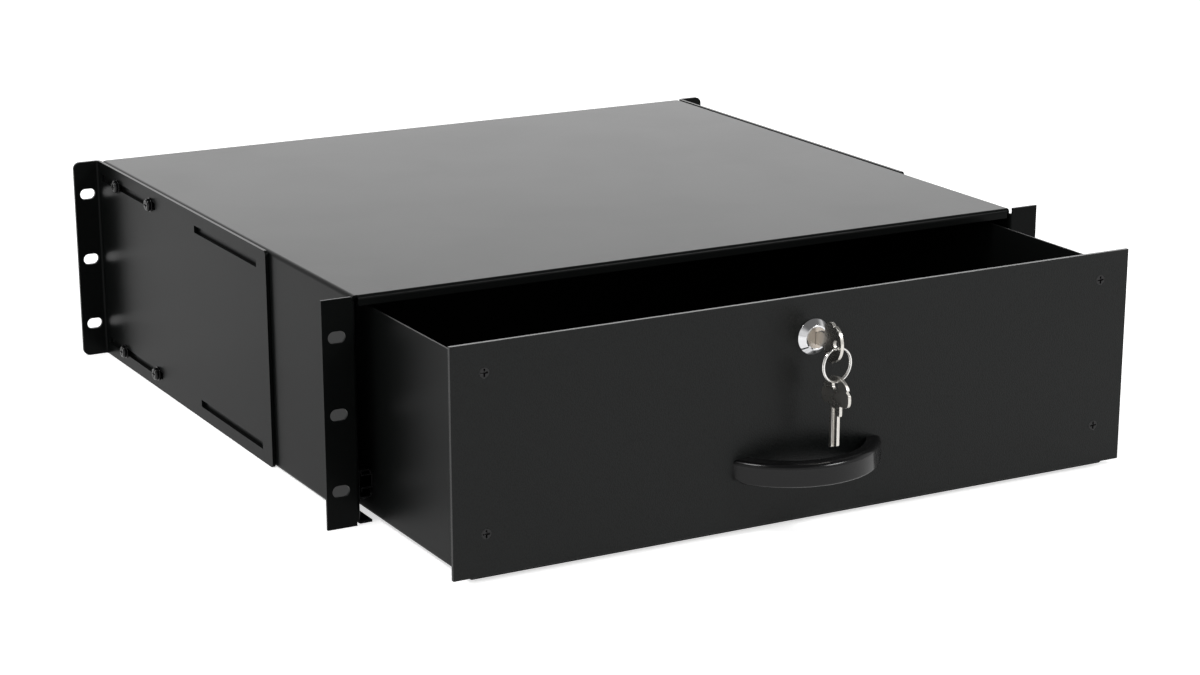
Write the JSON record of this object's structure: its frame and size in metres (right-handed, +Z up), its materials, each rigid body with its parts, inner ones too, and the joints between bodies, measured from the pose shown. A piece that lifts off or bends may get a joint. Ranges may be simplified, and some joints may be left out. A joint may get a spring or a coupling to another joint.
{
  "type": "rack drawer",
  "caption": "Lockable sliding drawer for an equipment rack: folded steel housing with ears and adjustable rear brackets, drawer on ball runners, bow handle, cam lock with keys.",
  "frame": {"origin": "middle of the rack slots in the front ears, on the ears' front face", "axes": "+Y towards the back of the rack, along the drawer's slide; +Z up; +X to the right seen from the front"},
  "size_m": [0.4826, 0.564, 0.1324],
  "materials": {
    "housing_paint": "fine black powder coat, satin",
    "drawer_paint": "black powder coat, satin",
    "face_paint": "black powder coat with a leather grain",
    "runner_steel": "zinc plated, lightly oiled",
    "ball_steel": "polished ball steel",
    "black_screw": "black oxide, slightly glossy",
    "zinc_nut": "zinc plated",
    "handle_plastic": "moulded, polished black",
    "lock_chrome": "polished chrome on zinc",
    "lock_core": "nickel plated, turned",
    "key_nickel": "nickel plated, tumbled",
    "ring_steel": "bright spring steel"
  },
  "bodies": {
    "housing": {"housing_shell": "housing_paint", "lock_strike": "housing_paint", "clamp_screws_right": "black_screw", "clamp_screws_left": "black_screw", "clamp_washers_right": "black_screw", "clamp_washers_left": "black_screw", "clamp_nuts_right": "zinc_nut", "clamp_nuts_left": "zinc_nut", "case_runner_right": "runner_steel", "case_runner_left": "runner_steel"},
    "bracket_right": {"rear_bracket_right": "housing_paint"},
    "bracket_left": {"rear_bracket_left": "housing_paint"},
    "drawer": {"drawer_tray": "drawer_paint", "drawer_back": "drawer_paint", "face_angles": "drawer_paint", "face_plate": "face_paint", "face_screws": "black_screw", "face_nuts": "zinc_nut", "pull_handle": "handle_plastic", "handle_screws": "zinc_nut", "handle_washers": "zinc_nut", "lock_body": "lock_chrome", "lock_nut": "zinc_nut", "drawer_runner_right": "runner_steel", "drawer_runner_left": "runner_steel", "slider_screws_right": "black_screw", "slider_screws_left": "black_screw"},
    "cage_right": {"ball_cage_right": "runner_steel", "runner_balls_right": "ball_steel"},
    "cage_left": {"ball_cage_left": "runner_steel", "runner_balls_left": "ball_steel"},
    "lock_core": {"lock_plug": "lock_core", "lock_cam": "zinc_nut", "cam_screw": "zinc_nut"},
    "key": {"key_in_lock": "key_nickel"},
    "ring": {"key_ring": "ring_steel"},
    "spare": {"spare_key": "key_nickel"}
  },
  "joints": [
    {"name": "drawer_slide", "type": "slide", "parent": "housing", "child": "drawer", "axis": [0, -1, 0], "range_m": [-0.114, 0.136]},
    {"name": "cage_run_right", "type": "slide", "parent": "housing", "child": "cage_right", "axis": [0, -1, 0], "range_m": [-0.057, 0.068]},
    {"name": "cage_run_left", "type": "slide", "parent": "housing", "child": "cage_left", "axis": [0, -1, 0], "range_m": [-0.057, 0.068]},
    {"name": "bracket_slide_right", "type": "slide", "parent": "housing", "child": "bracket_right", "axis": [0, 1, 0], "range_m": [-0.027, 0.005]},
    {"name": "bracket_slide_left", "type": "slide", "parent": "housing", "child": "bracket_left", "axis": [0, 1, 0], "range_m": [-0.027, 0.005]},
    {"name": "lock_turn", "type": "hinge", "parent": "drawer", "child": "lock_core", "pos_m": [0.002, -0.1209, 0.04205], "axis": [0, 1, 0], "range_deg": [0, 90]},
    {"name": "key_pull", "type": "slide", "parent": "lock_core", "child": "key", "axis": [0, -1, 0], "range_m": [0, 0.03]},
    {"name": "ring_swing", "type": "hinge", "parent": "key", "child": "ring", "pos_m": [0.002, -0.1412, 0.04295], "axis": [-1, 0, 0], "range_deg": [-8, 60]},
    {"name": "spare_swing", "type": "hinge", "parent": "ring", "child": "spare", "pos_m": [0.002, -0.1412, 0.02035], "axis": [-0.9925, -0.1219, 0], "range_deg": [-8, 60]}
  ],
  "couplings": [
    {"joint": "cage_run_right", "follows": "drawer_slide", "ratio": 0.5},
    {"joint": "cage_run_left", "follows": "drawer_slide", "ratio": 0.5}
  ]
}
